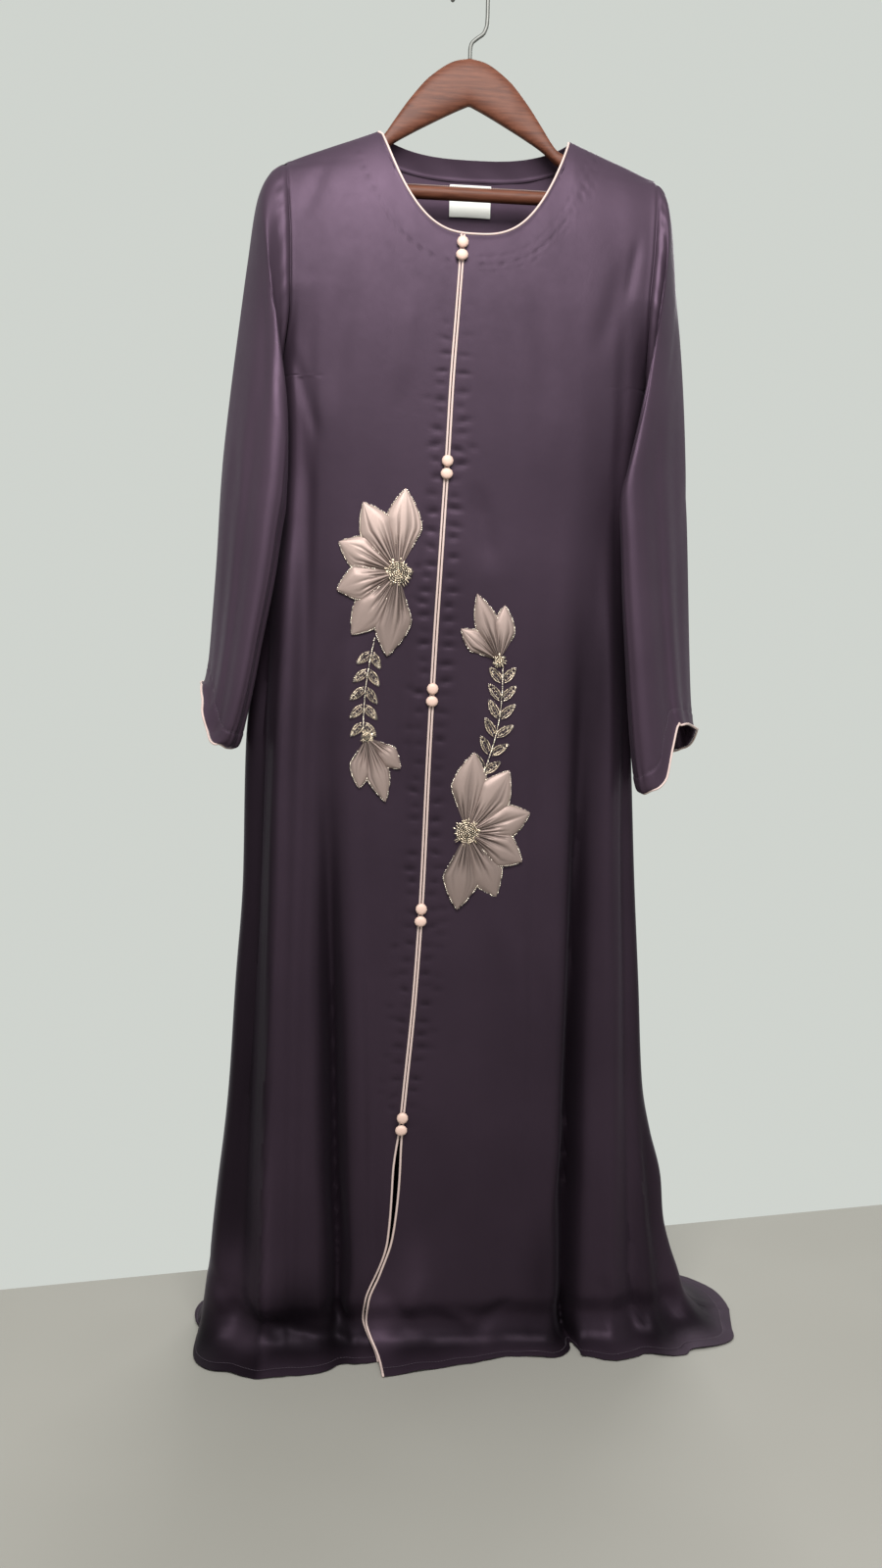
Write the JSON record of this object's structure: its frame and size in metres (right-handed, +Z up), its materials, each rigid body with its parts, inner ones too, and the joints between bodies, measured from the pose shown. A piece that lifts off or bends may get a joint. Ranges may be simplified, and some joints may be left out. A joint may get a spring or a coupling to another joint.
{
  "type": "abaya on a hanger",
  "caption": "Long front-opening satin abaya with piped edges, paired covered buttons and raised flower and leaf appliques, hung on a wooden hanger with its hem resting out below.",
  "frame": {"origin": "the highest point inside the hanger's hook, where it rests on a rail", "axes": "+Z up, -Y out of the front of the garment, +X to the viewer's right as the front is seen"},
  "size_m": [0.6372, 0.2565, 1.5224],
  "materials": {
    "satin": "soft satin, dusky violet grey",
    "blush_satin": "satin bias piping and covered buttons, pale blush",
    "petal_satin": "satin ribbon cloth, warm rose grey",
    "gold_beads": "small pale gold beads, glossy",
    "woven_label": "plain woven, white",
    "brown_wood": "satin varnish, red brown",
    "steel": "polished"
  },
  "bodies": {
    "root": {"back": "satin", "back_neck_facing": "satin", "button_1_lower": "blush_satin", "button_1_upper": "blush_satin", "button_2_lower": "blush_satin", "button_2_upper": "blush_satin", "button_3_lower": "blush_satin", "button_3_upper": "blush_satin", "button_4_lower": "blush_satin", "button_4_upper": "blush_satin", "button_5_lower": "blush_satin", "button_5_upper": "blush_satin", "cuff_piping_left": "blush_satin", "cuff_piping_right": "blush_satin", "flower_middle_left_lower": "gold_beads", "flower_middle_left_upper": "gold_beads", "flower_middle_right_lower": "gold_beads", "flower_middle_right_upper": "gold_beads", "front_left": "satin", "front_piping_left": "blush_satin", "front_piping_right": "blush_satin", "front_right": "satin", "hanger_arms": "brown_wood", "hanger_bar": "brown_wood", "hanger_hook": "steel", "leaf_spray_left": "gold_beads", "leaf_spray_right": "gold_beads", "neck_label": "woven_label", "neck_piping": "blush_satin", "petal_left_lower_1": "petal_satin", "petal_left_lower_2": "petal_satin", "petal_left_lower_3": "petal_satin", "petal_left_upper_1": "petal_satin", "petal_left_upper_2": "petal_satin", "petal_left_upper_3": "petal_satin", "petal_left_upper_4": "petal_satin", "petal_left_upper_5": "petal_satin", "petal_left_upper_6": "petal_satin", "petal_right_lower_1": "petal_satin", "petal_right_lower_2": "petal_satin", "petal_right_lower_3": "petal_satin", "petal_right_lower_4": "petal_satin", "petal_right_lower_5": "petal_satin", "petal_right_lower_6": "petal_satin", "petal_right_upper_1": "petal_satin", "petal_right_upper_2": "petal_satin", "petal_right_upper_3": "petal_satin", "sleeve_left": "satin", "sleeve_right": "satin"}
  },
  "joints": []
}
